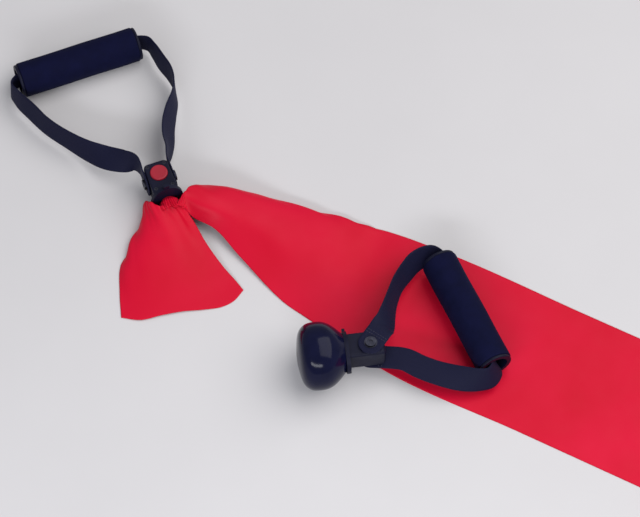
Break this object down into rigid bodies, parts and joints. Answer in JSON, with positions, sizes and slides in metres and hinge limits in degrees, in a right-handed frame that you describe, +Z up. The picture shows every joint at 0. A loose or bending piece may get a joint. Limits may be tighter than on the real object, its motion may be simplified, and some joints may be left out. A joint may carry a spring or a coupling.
{
  "type": "resistance band with handles",
  "caption": "Wide flat latex exercise band with foam-grip handles on webbing; one handle holds the gathered band, the other lies loose on it with a knob in its fitting.",
  "frame": {"origin": "centre of the whole layout on the surface that it rests on", "axes": "+X along the flat band towards its rolled far end, +Z up"},
  "size_m": [0.8491, 0.3007, 0.0684],
  "materials": {
    "latex": "satin natural latex, thin and slightly translucent",
    "foam": "fine closed-cell foam, matt",
    "webbing": "plain woven polyester webbing",
    "moulding": "moulded nylon, fine texture",
    "knob_gloss": "polished",
    "button_red": "satin",
    "steel": "zinc plated"
  },
  "bodies": {
    "root": {"band": "latex", "band_plug_stem": "moulding", "band_plug_head": "moulding", "band_plug_screw": "steel"},
    "fitting_1": {"housing_body_1": "moulding", "housing_cover_1": "moulding", "cover_screws_1": "steel", "pivot_screws_1": "steel"},
    "strap_1_body": {"strap_1": "webbing", "strap_eyelets_1": "steel"},
    "grip_1": {"grip_foam_1": "foam", "grip_core_1": "moulding", "grip_ring_left_1": "moulding", "grip_ring_right_1": "moulding"},
    "button_1": {"lock_button_1": "button_red", "latch_fork_1": "steel"},
    "fitting_2": {"housing_body_2": "moulding", "housing_cover_2": "moulding", "cover_screws_2": "steel", "pivot_screws_2": "steel"},
    "strap_2_body": {"strap_2": "webbing", "strap_eyelets_2": "steel"},
    "grip_2": {"grip_foam_2": "foam", "grip_core_2": "moulding", "grip_ring_left_2": "moulding", "grip_ring_right_2": "moulding"},
    "button_2": {"lock_button_2": "button_red", "latch_fork_2": "steel"},
    "knob": {"knob_back": "knob_gloss", "knob_front": "knob_gloss", "knob_stem": "moulding", "knob_screw": "steel"}
  },
  "joints": [
    {"name": "handle_1_pull_off", "type": "slide", "parent": "root", "child": "fitting_1", "axis": [-0.7466, 0.6652, 0], "range_m": [0, 0.035]},
    {"name": "handle_1_swing", "type": "hinge", "parent": "fitting_1", "child": "strap_1_body", "pos_m": [-0.2195, -0.0014, 0.023], "axis": [0.6652, 0.7466, 0], "range_deg": [0, 80]},
    {"name": "grip_1_spin", "type": "hinge", "parent": "strap_1_body", "child": "grip_1", "pos_m": [-0.3681, 0.0891, 0.0185], "axis": [0.6574, 0.7536, 0], "continuous": true},
    {"name": "button_1_press", "type": "slide", "parent": "fitting_1", "child": "button_1", "axis": [0, 0, -1], "range_m": [0, 0.002]},
    {"name": "handle_2_lift", "type": "slide", "parent": "root", "child": "fitting_2", "axis": [0, 0, 1], "range_m": [0, 0.15]},
    {"name": "handle_2_swing", "type": "hinge", "parent": "fitting_2", "child": "strap_2_body", "pos_m": [0.0646, -0.0832, 0.0343], "axis": [0, 0, 1], "range_deg": [-30, 30]},
    {"name": "grip_2_spin", "type": "hinge", "parent": "strap_2_body", "child": "grip_2", "pos_m": [0.1275, 0.0055, 0.0193], "axis": [0.7826, -0.6225, 0], "continuous": true},
    {"name": "button_2_press", "type": "slide", "parent": "fitting_2", "child": "button_2", "axis": [0.5793, -0.8151, 0], "range_m": [0, 0.002]},
    {"name": "knob_pull_out", "type": "slide", "parent": "fitting_2", "child": "knob", "axis": [-0.8151, -0.5793, 0], "range_m": [0, 0.032]}
  ]
}
